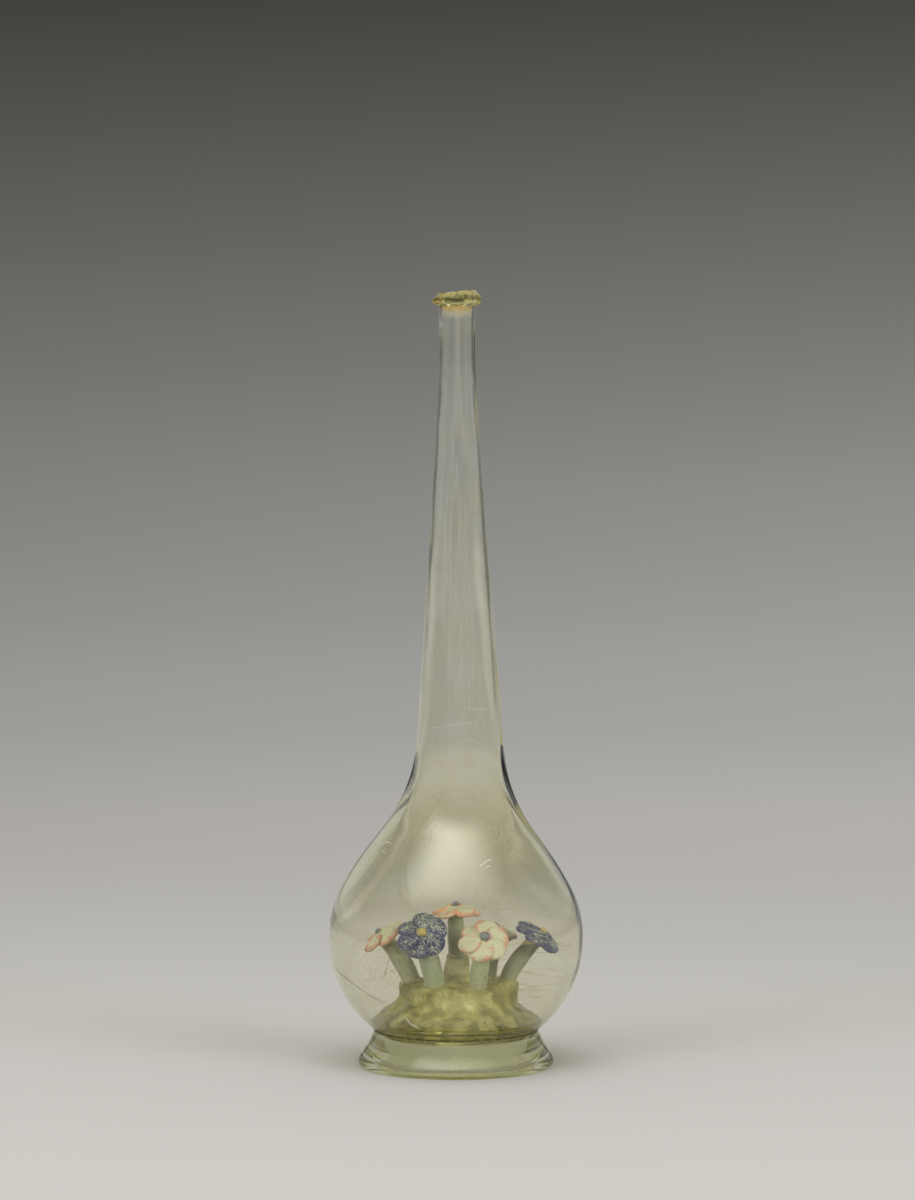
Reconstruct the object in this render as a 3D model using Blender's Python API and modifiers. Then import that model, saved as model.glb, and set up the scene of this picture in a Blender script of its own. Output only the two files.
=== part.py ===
"""Blown glass bottle with six lampworked flowers standing on a mound inside its bulb.

Metres, +Z up. The bottle stands on the plane Z = 0 with the bulb's axis on the Z axis.
"""
import math
from collections import namedtuple

import bmesh
import bpy
from mathutils import Vector

# Clearance between pieces that touch
GAP = 0.0003

# Foot ring: a wedge-shaped coil round the bottom of the bulb
FOOT_HEIGHT = 0.0130
FOOT_TOP_WALL = 0.0012
FOOT_SPREAD = 0.0057
FOOT_SPREAD_HEIGHT = 0.0030
FOOT_EDGE_ROUNDING = 0.0020
FOOT_WAIST = 0.0006

# Bulb
JOINT_RADIUS = 0.0297
BELLY_RISE = 0.0331
BELLY_RADIUS = 0.0460
UPPER_ARC_AXIS = 0.0425
UPPER_ARC_RISE = 0.0194

# Shoulder: it loses radius fastest part of the way up, then sweeps into the neck
SHOULDER_RISE = 0.0185
SHOULDER_RADIUS = 0.0284
SHOULDER_SLOPE = 0.78
SWEEP_RISE = 0.0325

# Neck: a straight taper that ends in a nearly parallel throat, slightly bowed to +X
NECK_ROOT_RADIUS = 0.01575
TAPER_LENGTH = 0.1080
TAPER_END_RADIUS = 0.00795
THROAT_BLEND = 0.0330
THROAT_RADIUS = 0.0065
THROAT_LENGTH = 0.0168
BOW = 0.0013
BOW_LEFT_AT_LIP = 0.0003

# Walls, measured level
JOINT_WALL = 0.0020
BELLY_WALL = 0.0013
SHOULDER_WALL = 0.0036
NECK_ROOT_WALL = 0.0014
THROAT_WALL = 0.0010

# Base: it sits inside the foot ring and is pushed up into a dome
BASE_HEIGHT = 0.0098
BASE_WALL = 0.0020
BASE_ROUNDING = 0.0016
KICK_RADIUS = 0.0165
KICK_RISE = 0.0110

# Lip: a six-sided flange whose top falls away from a flat mouth
LIP_RADIUS = 0.0090
LIP_CORNERS = (0.97, 0.90, 0.92, 1.00, 0.86, 0.86)
LIP_HEIGHT = 0.0054
LIP_UNDERCUT = 0.0010
LIP_TOP_SLOPE = 1.05
MOUTH_RIM = 0.0011

# Mound of thick glass on the dome
MOUND_RISE = 0.0049
MOUND_SHARE = 0.84
MOUND_WAIST = 0.0012
MOUND_CROWN = 0.0060
FLARE_RISE = 0.0042
FLARE_EDGE = 0.0012

# Posts that carry the stems
POST_EMBED = 0.0024
POST_MARGIN = 0.0010
POST_SPREAD = 0.0012

# Flower heads
HEAD_RADIUS = 0.0095
PETAL_THICKNESS = 0.0036
PETAL_NOTCH = 0.70
PETAL_FURROW = 0.50
PETAL_DROOP = 0.0024
EYE_STANDOUT = -0.10

# Facets: the ring count is a multiple of the lip's six sides
RING_STEPS = 36
MOUND_STEPS = 24
INSIDE_LOW_RINGS = 4
POST_STEPS = 12
STEPS_PER_PETAL = 6
HEAD_RINGS = 6
EYE_STEPS = 8
STEM_SPANS = 4

Flower = namedtuple("Flower", "name root reach facing radius petals stem eye_size petal eye")

WHITE = (0.78, 0.76, 0.60)
COBALT = (0.05, 0.06, 0.25)
EYE_BLUE = (0.06, 0.10, 0.18)
EYE_YELLOW = (0.72, 0.47, 0.05)
CELADON = (0.34, 0.42, 0.27)
CLEAR_GREEN = (0.62, 0.64, 0.50)
OLIVE = (0.30, 0.28, 0.10)

# Root: X, Y and rise above the mound, in mound radii. Reach: from the root to the head's middle.
# Reach and the radii of head, stem and eye are in units of the head radius.
FLOWERS = (
    Flower("white_left", (-0.809, 0.049, 0.118), (-1.116, 0.105, 1.874),
           (-0.59, -0.10, 0.80), 1.000, 6, 0.316, 0.158, WHITE, EYE_BLUE),
    Flower("blue_front", (-0.382, -0.417, 0.069), (-0.484, -0.526, 2.168),
           (-0.10, -0.84, 0.54), 1.000, 6, 0.358, 0.200, COBALT, EYE_YELLOW),
    Flower("white_top", (0.000, 0.147, 0.588), (-0.021, 0.211, 1.853),
           (-0.02, -0.04, 1.00), 0.947, 6, 0.295, 0.137, WHITE, EYE_BLUE),
    Flower("white_front", (0.368, -0.539, 0.010), (0.263, -0.295, 2.126),
           (0.05, -0.70, 0.71), 1.021, 6, 0.316, 0.211, WHITE, EYE_BLUE),
    Flower("white_back", (0.588, 0.466, 0.118), (0.211, 0.211, 1.979),
           (0.10, -0.05, 1.00), 0.926, 6, 0.284, 0.158, WHITE, EYE_BLUE),
    Flower("blue_right", (0.931, 0.000, 0.118), (1.242, -0.053, 1.895),
           (0.59, -0.12, 0.80), 1.032, 6, 0.326, 0.158, COBALT, EYE_YELLOW),
)

# Heights that follow from the sizes above
BELLY_HEIGHT = FOOT_HEIGHT + GAP + BELLY_RISE
ARC_END_HEIGHT = BELLY_HEIGHT + UPPER_ARC_RISE
SHOULDER_HEIGHT = ARC_END_HEIGHT + SHOULDER_RISE
NECK_ROOT_HEIGHT = SHOULDER_HEIGHT + SWEEP_RISE
TAPER_END_HEIGHT = NECK_ROOT_HEIGHT + TAPER_LENGTH
THROAT_HEIGHT = TAPER_END_HEIGHT + THROAT_BLEND
LIP_BOTTOM = THROAT_HEIGHT + THROAT_LENGTH
LIP_TOP = LIP_BOTTOM + LIP_HEIGHT
JOINT_HEIGHT = FOOT_HEIGHT + GAP
BASE_RADIUS = JOINT_RADIUS - FOOT_TOP_WALL - GAP
FLOOR_HEIGHT = BASE_HEIGHT + BASE_WALL
FLOOR_RADIUS = BASE_RADIUS - JOINT_WALL - BASE_ROUNDING
SKIRT_RADIUS = FLOOR_RADIUS - GAP
MOUND_RADIUS = SKIRT_RADIUS * MOUND_SHARE
MOUND_TOP = FLOOR_HEIGHT + KICK_RISE + GAP + MOUND_RISE
MOUTH_RADIUS = THROAT_RADIUS - THROAT_WALL


def clear_scene():
    for obj in list(bpy.data.objects):
        bpy.data.objects.remove(obj, do_unlink=True)


def new_collection(name):
    collection = bpy.data.collections.new(name)
    bpy.context.scene.collection.children.link(collection)
    return collection


def new_material(name, colour, roughness):
    material = bpy.data.materials.new(name)
    material.use_nodes = True
    shader = material.node_tree.nodes["Principled BSDF"]
    shader.inputs["Base Color"].default_value = (*colour, 1.0)
    shader.inputs["Roughness"].default_value = roughness
    shader.inputs["Metallic"].default_value = 0.0
    return material


def add_object(name, data, collection, material=None):
    obj = bpy.data.objects.new(name, data)
    collection.objects.link(obj)
    if material:
        data.materials.append(material)
    return obj


def spaced(start, end, count):
    """Count values from start towards end, leaving end itself out."""
    return [start + (end - start) * i / count for i in range(count)]


def hermite(z, low, high):
    """Radius at z on the cubic between two (height, radius, slope) stations."""
    span = high[0] - low[0]
    t = (z - low[0]) / span
    return ((2 * t**3 - 3 * t**2 + 1) * low[1] + (t**3 - 2 * t**2 + t) * span * low[2]
            + (3 * t**2 - 2 * t**3) * high[1] + (t**3 - t**2) * span * high[2])


def lower_arc_axis():
    """Upright half-axis of the ellipse through the joint and the belly."""
    return BELLY_RISE / math.sqrt(1 - (JOINT_RADIUS / BELLY_RADIUS) ** 2)


def arc_radius(z, axis):
    return BELLY_RADIUS * math.sqrt(1 - ((z - BELLY_HEIGHT) / axis) ** 2)


def outer_radius(z):
    """Radius of the outside of bulb, shoulder and neck at height z."""
    if z <= BELLY_HEIGHT:
        return arc_radius(z, lower_arc_axis())
    if z <= ARC_END_HEIGHT:
        return arc_radius(z, UPPER_ARC_AXIS)
    end_radius = arc_radius(ARC_END_HEIGHT, UPPER_ARC_AXIS)
    end_slope = -BELLY_RADIUS**2 * UPPER_ARC_RISE / UPPER_ARC_AXIS**2 / end_radius
    taper_slope = (TAPER_END_RADIUS - NECK_ROOT_RADIUS) / TAPER_LENGTH
    stations = (
        (ARC_END_HEIGHT, end_radius, end_slope),
        (SHOULDER_HEIGHT, SHOULDER_RADIUS, -SHOULDER_SLOPE),
        (NECK_ROOT_HEIGHT, NECK_ROOT_RADIUS, taper_slope),
        (TAPER_END_HEIGHT, TAPER_END_RADIUS, taper_slope),
        (THROAT_HEIGHT, THROAT_RADIUS, 0.0),
        (LIP_BOTTOM, THROAT_RADIUS, 0.0),
    )
    for low, high in zip(stations, stations[1:]):
        if z <= high[0]:
            return hermite(z, low, high)
    return THROAT_RADIUS


def wall(z):
    """Level thickness of the wall at height z, thickest at the shoulder."""
    stations = (
        (JOINT_HEIGHT, JOINT_WALL, 0.0),
        (BELLY_HEIGHT, BELLY_WALL, 0.0),
        (SHOULDER_HEIGHT, SHOULDER_WALL, 0.0),
        (NECK_ROOT_HEIGHT, NECK_ROOT_WALL, 0.0),
        (TAPER_END_HEIGHT, THROAT_WALL, 0.0),
    )
    for low, high in zip(stations, stations[1:]):
        if z <= high[0]:
            return hermite(z, low, high)
    return THROAT_WALL


def inner_radius(z):
    return outer_radius(z) - wall(z)


def dome(radius, foot, rise, angles):
    """Points of an upright quarter ellipse at the given angles from its level foot."""
    return [(radius * math.cos(a), foot + rise * math.sin(a)) for a in angles]


def turned_mesh(name, profile, steps, closed):
    """Mesh turned round the Z axis from a profile that runs down its outer side."""
    count = len(profile)
    edges = [(i, i + 1) for i in range(count - 1)]
    if closed:
        edges.append((count - 1, 0))
    outline = bpy.data.meshes.new(name + "_outline")
    outline.from_pydata([(r, 0.0, z) for r, z in profile], edges, [])
    holder = bpy.data.objects.new(name + "_outline", outline)
    bpy.context.scene.collection.objects.link(holder)
    screw = holder.modifiers.new("turn", "SCREW")
    screw.steps = steps
    screw.render_steps = steps
    screw.use_merge_vertices = True
    screw.merge_threshold = 0.00001
    depsgraph = bpy.context.evaluated_depsgraph_get()
    mesh = bpy.data.meshes.new_from_object(holder.evaluated_get(depsgraph))
    mesh.name = name
    bpy.data.objects.remove(holder, do_unlink=True)
    bpy.data.meshes.remove(outline)
    mesh.shade_smooth()
    mesh.set_sharp_from_angle(angle=math.radians(40))
    return mesh


def bow(z):
    """How far the blown neck stands out of line to +X at height z."""
    stations = (
        (ARC_END_HEIGHT, 0.0, 0.0),
        (NECK_ROOT_HEIGHT, BOW, 0.0),
        (LIP_TOP, BOW_LEFT_AT_LIP, 0.0),
    )
    for low, high in zip(stations, stations[1:]):
        if low[0] <= z <= high[0]:
            return hermite(z, low, high)
    return 0.0


def lip_reach(angle):
    """Radius of the lip's straight-sided outline in one direction."""
    sides = len(LIP_CORNERS)
    turn = 2 * math.pi / sides
    side = int(angle / turn + 1e-6) % sides
    into = angle - side * turn
    first = LIP_RADIUS * LIP_CORNERS[side]
    second = LIP_RADIUS * LIP_CORNERS[(side + 1) % sides]
    return first * second * math.sin(turn) / (first * math.sin(into) + second * math.sin(turn - into))


def shape_lip(mesh):
    """Turn the round flange into flat sides and let its top fall away to the corners."""
    rim_radius = MOUTH_RADIUS + MOUTH_RIM
    for vertex in mesh.vertices:
        point = vertex.co
        radius = math.hypot(point.x, point.y)
        if point.z <= LIP_BOTTOM or radius <= rim_radius + GAP:
            continue
        reach = lip_reach(math.atan2(point.y, point.x) % (2 * math.pi)) * radius / LIP_RADIUS
        if point.z >= LIP_TOP - GAP:
            point.z = LIP_TOP - LIP_TOP_SLOPE * (reach - rim_radius)
        point.x *= reach / radius
        point.y *= reach / radius


def level_rings(heights, radius_at):
    return [(radius_at(z), z) for z in heights]


def bulb_profile():
    """Up the inside from the dome to the open top, then down the outside and under the base."""
    quarter = [math.radians(a) for a in (90, 62, 36, 14)]
    inner_kick = KICK_RADIUS + BASE_WALL
    inside = dome(inner_kick, FLOOR_HEIGHT, KICK_RISE, quarter)
    inside += [(inner_kick, FLOOR_HEIGHT), (FLOOR_RADIUS, FLOOR_HEIGHT)]
    heights = spaced(JOINT_HEIGHT, BELLY_HEIGHT, INSIDE_LOW_RINGS) + spaced(BELLY_HEIGHT, ARC_END_HEIGHT, 2)
    inside += level_rings(heights + [ARC_END_HEIGHT], inner_radius)

    heights = spaced(ARC_END_HEIGHT, BELLY_HEIGHT, 3) + spaced(BELLY_HEIGHT, JOINT_HEIGHT, 6)
    outside = level_rings(heights, outer_radius)
    outside += [
        (JOINT_RADIUS, JOINT_HEIGHT),
        (BASE_RADIUS, JOINT_HEIGHT),
        (BASE_RADIUS, BASE_HEIGHT + BASE_ROUNDING),
        (BASE_RADIUS - BASE_ROUNDING, BASE_HEIGHT),
        (KICK_RADIUS, BASE_HEIGHT),
    ]
    outside += dome(KICK_RADIUS, BASE_HEIGHT, KICK_RISE, quarter[::-1])
    return inside + outside


def shoulder_profile():
    """Up the inside and down the outside between the bulb and the neck."""
    low = ARC_END_HEIGHT + GAP
    heights = spaced(low, SHOULDER_HEIGHT, 3) + spaced(SHOULDER_HEIGHT, NECK_ROOT_HEIGHT, 3)
    inside = level_rings(heights + [NECK_ROOT_HEIGHT], inner_radius)
    heights = spaced(NECK_ROOT_HEIGHT, SHOULDER_HEIGHT, 5) + spaced(SHOULDER_HEIGHT, low, 3)
    return inside + level_rings(heights + [low], outer_radius)


def neck_profile():
    """Up the inside from the shoulder to the mouth, over the lip and down the outside."""
    low = NECK_ROOT_HEIGHT + GAP
    heights = spaced(low, TAPER_END_HEIGHT, 2) + spaced(TAPER_END_HEIGHT, THROAT_HEIGHT, 1)
    inside = level_rings(heights, inner_radius)
    inside += [(MOUTH_RADIUS, THROAT_HEIGHT), (MOUTH_RADIUS, LIP_TOP)]
    lip = [
        (MOUTH_RADIUS + MOUTH_RIM, LIP_TOP),
        (LIP_RADIUS, LIP_TOP),
        (LIP_RADIUS, LIP_BOTTOM + LIP_UNDERCUT),
        (LIP_RADIUS - LIP_UNDERCUT, LIP_BOTTOM + LIP_UNDERCUT / 5),
    ]
    heights = spaced(LIP_BOTTOM, THROAT_HEIGHT, 1) + spaced(THROAT_HEIGHT, TAPER_END_HEIGHT, 2)
    heights += spaced(TAPER_END_HEIGHT, low, 3)
    return inside + lip + level_rings(heights + [low], outer_radius)


def build_vessel(collection, material):
    """The vessel in three lengths, so that collision can follow the hollow in each."""
    lengths = (
        ("bulb", bulb_profile(), False),
        ("shoulder", shoulder_profile(), True),
        ("neck", neck_profile(), True),
    )
    for name, profile, closed in lengths:
        mesh = turned_mesh(name, profile, RING_STEPS, closed)
        if name == "neck":
            shape_lip(mesh)
        for vertex in mesh.vertices:
            vertex.co.x += bow(vertex.co.z)
        add_object(name, mesh, collection, material)


def foot_profile():
    """Down the flared outside of the ring, under its edge and up its level inside."""
    inner = BASE_RADIUS + GAP
    outer = JOINT_RADIUS + FOOT_SPREAD
    low = FOOT_SPREAD_HEIGHT
    flare = []
    for t in spaced(0.0, 1.0, 4):
        hollow = FOOT_WAIST * math.sin(math.pi * t)
        flare.append((JOINT_RADIUS + FOOT_SPREAD * t - hollow, FOOT_HEIGHT + (low - FOOT_HEIGHT) * t))
    edge = FOOT_EDGE_ROUNDING
    return flare + [
        (outer, low),
        (outer - edge * 0.3, low * 0.3),
        (outer - edge, 0.0),
        (inner + edge * 0.6, 0.0),
        (inner + edge * 0.1, low * 0.3),
        (inner, low),
        (inner, FOOT_HEIGHT),
    ]


def build_foot(collection, material):
    mesh = turned_mesh("foot_ring", foot_profile(), RING_STEPS, closed=True)
    add_object("foot_ring", mesh, collection, material)


def wall_chord(z):
    """Radius of the faceted inside of the bulb between its two lowest rings."""
    t = (z - JOINT_HEIGHT) / (BELLY_RISE / INSIDE_LOW_RINGS)
    low = inner_radius(JOINT_HEIGHT)
    high = inner_radius(JOINT_HEIGHT + BELLY_RISE / INSIDE_LOW_RINGS)
    return (low + (high - low) * t) * math.cos(math.pi / RING_STEPS)


def mound_profile():
    """Down the outside of the mound, then up its hollow, which follows the dome."""
    under_radius = KICK_RADIUS + BASE_WALL + GAP
    under_floor = FLOOR_HEIGHT + GAP
    column_top = MOUND_TOP - MOUND_CROWN / 3
    column_low = under_floor + (MOUND_TOP - under_floor) * 0.48
    crown = dome(MOUND_RADIUS, column_top, MOUND_TOP - column_top, [math.radians(a) for a in (90, 50, 0)])
    column = []
    for t in spaced(0.0, 1.0, 3)[1:]:
        pinch = MOUND_WAIST * math.sin(math.pi * t)
        column.append((MOUND_RADIUS - pinch, column_top + (column_low - column_top) * t))
    flare_low = FLOOR_HEIGHT + FLARE_RISE
    flare_top = flare_low + FLARE_EDGE
    flare_radius = wall_chord(flare_low) - 2 * GAP
    skirt = []
    for t in spaced(0.0, 1.0, 3):
        radius = MOUND_RADIUS + (flare_radius - MOUND_RADIUS) * t**1.6
        skirt.append((radius, column_low + (flare_top - column_low) * t))
    skirt += [(flare_radius - FLARE_EDGE / 2, flare_top), (flare_radius, flare_low)]
    skirt.append((wall_chord(JOINT_HEIGHT + GAP) - 2 * GAP, JOINT_HEIGHT + GAP))
    hollow = dome(under_radius, under_floor, KICK_RISE, [math.radians(a) for a in (0, 14, 36, 62, 90)])
    return crown + column + skirt + [(SKIRT_RADIUS, under_floor)] + hollow


def root_point(flower):
    return Vector((0, 0, MOUND_TOP)) + Vector(flower.root) * MOUND_RADIUS


def head_radius(flower):
    return flower.radius * HEAD_RADIUS


def stem_radius(flower):
    return flower.stem * HEAD_RADIUS


def eye_radius(flower):
    return flower.eye_size * HEAD_RADIUS


def stem_start(flower):
    """Direction in which a stem leaves its post: halfway between its reach and upright."""
    reach = Vector(flower.reach)
    return (reach.normalized() + Vector((0, 0, 1))).normalized()


def place_along(obj, middle, direction):
    """Stand an object's own Z axis along a direction."""
    obj.location = middle
    obj.rotation_mode = "QUATERNION"
    obj.rotation_quaternion = Vector(direction).to_track_quat("Z", "Y")


def build_posts(cutters):
    posts = []
    for flower in FLOWERS:
        direction = stem_start(flower)
        length = (flower.root[2] * MOUND_RADIUS + POST_EMBED) / direction.z
        top = stem_radius(flower) + POST_MARGIN
        form = bmesh.new()
        bmesh.ops.create_cone(form, cap_ends=True, segments=POST_STEPS, depth=length,
                              radius1=top + POST_SPREAD, radius2=top)
        mesh = bpy.data.meshes.new(flower.name + "_post")
        form.to_mesh(mesh)
        form.free()
        post = add_object(flower.name + "_post", mesh, cutters)
        place_along(post, root_point(flower) - direction * length / 2, direction)
        posts.append(post)
    return posts


def add_boolean(obj, cutter, operation):
    cutter.hide_render = True
    cutter.display_type = "WIRE"
    boolean = obj.modifiers.new(cutter.name, "BOOLEAN")
    boolean.operation = operation
    boolean.solver = "EXACT"
    boolean.object = cutter


def build_mound(collection, cutters, material):
    mesh = turned_mesh("flower_mound", mound_profile(), MOUND_STEPS, closed=False)
    mound = add_object("flower_mound", mesh, collection, material)
    for post in build_posts(cutters):
        add_boolean(mound, post, "UNION")


def head_middle(flower):
    return root_point(flower) + Vector(flower.reach) * HEAD_RADIUS


def sheet_drop(flower, radius):
    """How far the middle of the petals hangs below the head's middle at a radius."""
    return PETAL_DROOP * (radius / head_radius(flower)) ** 2


def head_underside(flower, radius):
    """Depth of the petals' underside at a radius near the stem."""
    lean = math.sqrt(1 - (radius / head_radius(flower)) ** 2)
    return PETAL_THICKNESS / 2 * lean + sheet_drop(flower, radius)


def head_mesh(flower):
    """A ball of rings pressed flat, notched between its petals and drooping at the rim."""
    form = bmesh.new()
    bmesh.ops.create_uvsphere(form, u_segments=STEPS_PER_PETAL * flower.petals,
                              v_segments=HEAD_RINGS, radius=1.0)
    for vertex in form.verts:
        unit = vertex.co.copy()
        level = math.hypot(unit.x, unit.y)
        angle = math.atan2(unit.y, unit.x)
        petal = abs(math.cos(angle * flower.petals / 2)) ** 0.45
        reach = head_radius(flower) * level * (PETAL_NOTCH + (1 - PETAL_NOTCH) * petal)
        swell = 1 - PETAL_FURROW * (1 - petal) * level
        height = PETAL_THICKNESS / 2 * unit.z * swell - sheet_drop(flower, reach)
        vertex.co = (math.cos(angle) * reach, math.sin(angle) * reach, height)
    mesh = bpy.data.meshes.new(flower.name + "_petals")
    form.to_mesh(mesh)
    form.free()
    mesh.shade_smooth()
    return mesh


def ball_mesh(name, radius):
    form = bmesh.new()
    bmesh.ops.create_uvsphere(form, u_segments=EYE_STEPS, v_segments=EYE_STEPS // 2 + 1, radius=radius)
    mesh = bpy.data.meshes.new(name)
    form.to_mesh(mesh)
    form.free()
    mesh.shade_smooth()
    return mesh


def build_head(flower, collection, cutters, petal_material, eye_material):
    facing = Vector(flower.facing).normalized()
    middle = head_middle(flower)
    head = add_object(flower.name + "_petals", head_mesh(flower), collection, petal_material)
    place_along(head, middle, facing)

    eye_middle = middle + facing * (PETAL_THICKNESS / 2 + eye_radius(flower) * EYE_STANDOUT)
    eye = add_object(flower.name + "_eye", ball_mesh(flower.name + "_eye", eye_radius(flower)),
                     collection, eye_material)
    place_along(eye, eye_middle, facing)

    dent_mesh = ball_mesh(flower.name + "_dent", eye_radius(flower) + GAP)
    dent = add_object(flower.name + "_dent", dent_mesh, cutters)
    place_along(dent, eye_middle, facing)
    add_boolean(head, dent, "DIFFERENCE")


def build_stem(flower, collection, material):
    """A tapered rod that leaves its post square on and meets the petals square on."""
    start_way = stem_start(flower)
    end_way = Vector(flower.facing).normalized()
    start = root_point(flower) + start_way * GAP
    depth = max(head_underside(flower, 0.0), head_underside(flower, stem_radius(flower))) + GAP
    end = head_middle(flower) - end_way * depth
    handle = (end - start).length * 0.36

    curve = bpy.data.curves.new(flower.name + "_stem", "CURVE")
    curve.dimensions = "3D"
    curve.resolution_u = STEM_SPANS
    curve.bevel_depth = stem_radius(flower)
    curve.bevel_resolution = 2
    curve.use_fill_caps = True
    spline = curve.splines.new("BEZIER")
    spline.bezier_points.add(1)
    first, last = spline.bezier_points
    first.co = start
    first.handle_left = start - start_way * handle
    first.handle_right = start + start_way * handle
    last.co = end
    last.handle_left = end - end_way * handle
    last.handle_right = end + end_way * handle
    add_object(flower.name + "_stem", curve, collection, material)


def build():
    clear_scene()
    parts = new_collection("glass_bottle")
    cutters = new_collection("cutters")
    clear_glass = new_material("clear_green_glass", CLEAR_GREEN, 0.05)
    build_vessel(parts, clear_glass)
    build_foot(parts, clear_glass)
    build_mound(parts, cutters, new_material("olive_glass", OLIVE, 0.10))
    stem_material = new_material("celadon_glass", CELADON, 0.30)
    for flower in FLOWERS:
        petal_material = new_material(flower.name + "_petal_glass", flower.petal, 0.30)
        eye_material = new_material(flower.name + "_eye_glass", flower.eye, 0.25)
        build_stem(flower, parts, stem_material)
        build_head(flower, parts, cutters, petal_material, eye_material)


build()
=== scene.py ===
"""Blown glass bottle with lampworked flowers inside its bulb, dressed for the render."""
import math
import random
from collections import namedtuple

import bmesh
import bpy
import numpy as np
from mathutils import Matrix, Vector, noise


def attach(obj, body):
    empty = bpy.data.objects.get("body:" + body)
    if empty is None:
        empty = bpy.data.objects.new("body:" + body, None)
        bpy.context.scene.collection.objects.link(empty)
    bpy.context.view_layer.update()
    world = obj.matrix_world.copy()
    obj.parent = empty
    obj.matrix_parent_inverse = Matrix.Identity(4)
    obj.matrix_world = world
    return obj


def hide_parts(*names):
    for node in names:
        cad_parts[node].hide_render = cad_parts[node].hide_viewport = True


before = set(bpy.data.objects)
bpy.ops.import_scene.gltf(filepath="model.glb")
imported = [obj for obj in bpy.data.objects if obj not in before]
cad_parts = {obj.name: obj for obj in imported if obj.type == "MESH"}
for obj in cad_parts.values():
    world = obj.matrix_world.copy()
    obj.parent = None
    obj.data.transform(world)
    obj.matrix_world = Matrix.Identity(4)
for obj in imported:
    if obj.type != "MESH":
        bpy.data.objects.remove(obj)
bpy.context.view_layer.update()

# Vessel sizes, the same as the solids'
FOOT_HEIGHT = 0.0130
FOOT_SPREAD = 0.0057
FOOT_SPREAD_HEIGHT = 0.0030
FOOT_WAIST = 0.0006
FOOT_INNER = 0.0285
PLUG_RADIUS = 0.0280
JOINT_HEIGHT = 0.0133
JOINT_RADIUS = 0.0297
BELLY_HEIGHT = 0.0464
BELLY_RADIUS = 0.0460
ARC_AXIS = 0.0425
ARC_END = 0.0658
SHOULDER = (0.0843, 0.0284, -0.78)
NECK_ROOT = (0.1168, 0.01575)
TAPER_END = (0.2248, 0.00795)
THROAT = (0.2578, 0.0065)
LIP_BOTTOM = 0.2746
LIP_TOP = 0.2800
LIP_RADIUS = 0.0090
LIP_CORNERS = (0.97, 0.90, 0.92, 1.00, 0.86, 0.86)
LIP_TOP_SLOPE = 1.05
LIP_TILT = 0.11
MOUTH_RADIUS = 0.0055
RIM_RADIUS = 0.0066
BOW = 0.0013
BOW_LEFT = 0.0003
BASE_HEIGHT = 0.0098
FLOOR_HEIGHT = 0.0118
FLOOR_RADIUS = 0.0246
KICK_RADIUS = 0.0165
KICK_RISE = 0.0110
MOUND_TOP = 0.0280
SIDES = 180

# Sizes shared by the skins made here
EDGE_ROUND = 0.0016
FLOOR_TURN = 0.0160
MELT_VOXEL = 0.00048
SHARP_ANGLE = math.radians(40)
HAIR_DEPTH = 0.0007

# Flowers: the root and the head's place from it, its facing, and the radii of head, rod and bead
Flower = namedtuple("Flower", "name root head facing radius rod bead")
FLOWERS = (
    Flower("white_left", (-0.0165, 0.0010, 0.0024), (-0.0106, 0.0010, 0.0178),
           (-0.59, -0.10, 0.80), 0.0095, 0.0030, 0.0015),
    Flower("blue_front", (-0.0078, -0.0085, 0.0014), (-0.0046, -0.0050, 0.0206),
           (-0.10, -0.84, 0.54), 0.0095, 0.0034, 0.0019),
    Flower("white_top", (0.0000, 0.0030, 0.0120), (-0.0002, 0.0020, 0.0176),
           (-0.02, -0.04, 1.00), 0.0090, 0.0028, 0.0013),
    Flower("white_front", (0.0075, -0.0110, 0.0002), (0.0025, -0.0028, 0.0202),
           (0.05, -0.70, 0.71), 0.0097, 0.0030, 0.0020),
    Flower("white_back", (0.0120, 0.0095, 0.0024), (0.0020, 0.0020, 0.0188),
           (0.10, -0.05, 1.00), 0.0088, 0.0027, 0.0015),
    Flower("blue_right", (0.0190, 0.0000, 0.0024), (0.0118, -0.0005, 0.0180),
           (0.59, -0.12, 0.80), 0.0098, 0.0031, 0.0015),
)
PETALS = 6
PETAL_TURNS = {
    "white_left": 0.2,
    "blue_front": 0.45,
    "white_top": 0.5,
    "white_front": 0.3,
    "white_back": 0.0,
    "blue_right": 0.1,
}

# Cracks, chips and scratches as hairs, the dark ones painted shade and the light ones painted glints: name,
# tone, half width, and points of x and z on the front of the wall
MARKS = (
    ("crack_low", "dark", 0.00015, (
        (-0.0440, 0.0376), (-0.0405, 0.0352), (-0.0378, 0.0339), (-0.0320, 0.0304), (-0.0252, 0.0270))),
    ("crack_high", "dark", 0.00012, ((-0.0235, 0.0440), (-0.0245, 0.0400), (-0.0256, 0.0366))),
    ("glint_left", "light", 0.00038, ((-0.0305, 0.0312), (-0.0262, 0.0290), (-0.0244, 0.0274))),
    ("glint_skirt", "light", 0.00038, ((-0.0180, 0.0224), (-0.0158, 0.0196), (-0.0126, 0.0181))),
    ("chip_left_a", "light", 0.00032, ((-0.0268, 0.0812), (-0.0245, 0.0826), (-0.0228, 0.0822))),
    ("chip_left_b", "light", 0.00026, ((-0.0262, 0.0800), (-0.0250, 0.0788))),
    ("chip_left_c", "light", 0.00024, ((-0.0240, 0.0836), (-0.0222, 0.0840))),
    ("chip_right_a", "light", 0.00032, ((0.0085, 0.0758), (0.0106, 0.0774), (0.0128, 0.0779))),
    ("chip_right_b", "light", 0.00026, ((0.0102, 0.0752), (0.0122, 0.0760))),
    ("scratch_a", "light", 0.00010, ((0.0043, 0.1303), (0.0115, 0.1298))),
    ("scratch_b", "light", 0.00009, ((0.0102, 0.1262), (-0.0134, 0.1228))),
    ("scratch_c", "light", 0.00009, ((0.0014, 0.1200), (0.0078, 0.1186))),
)


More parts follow.
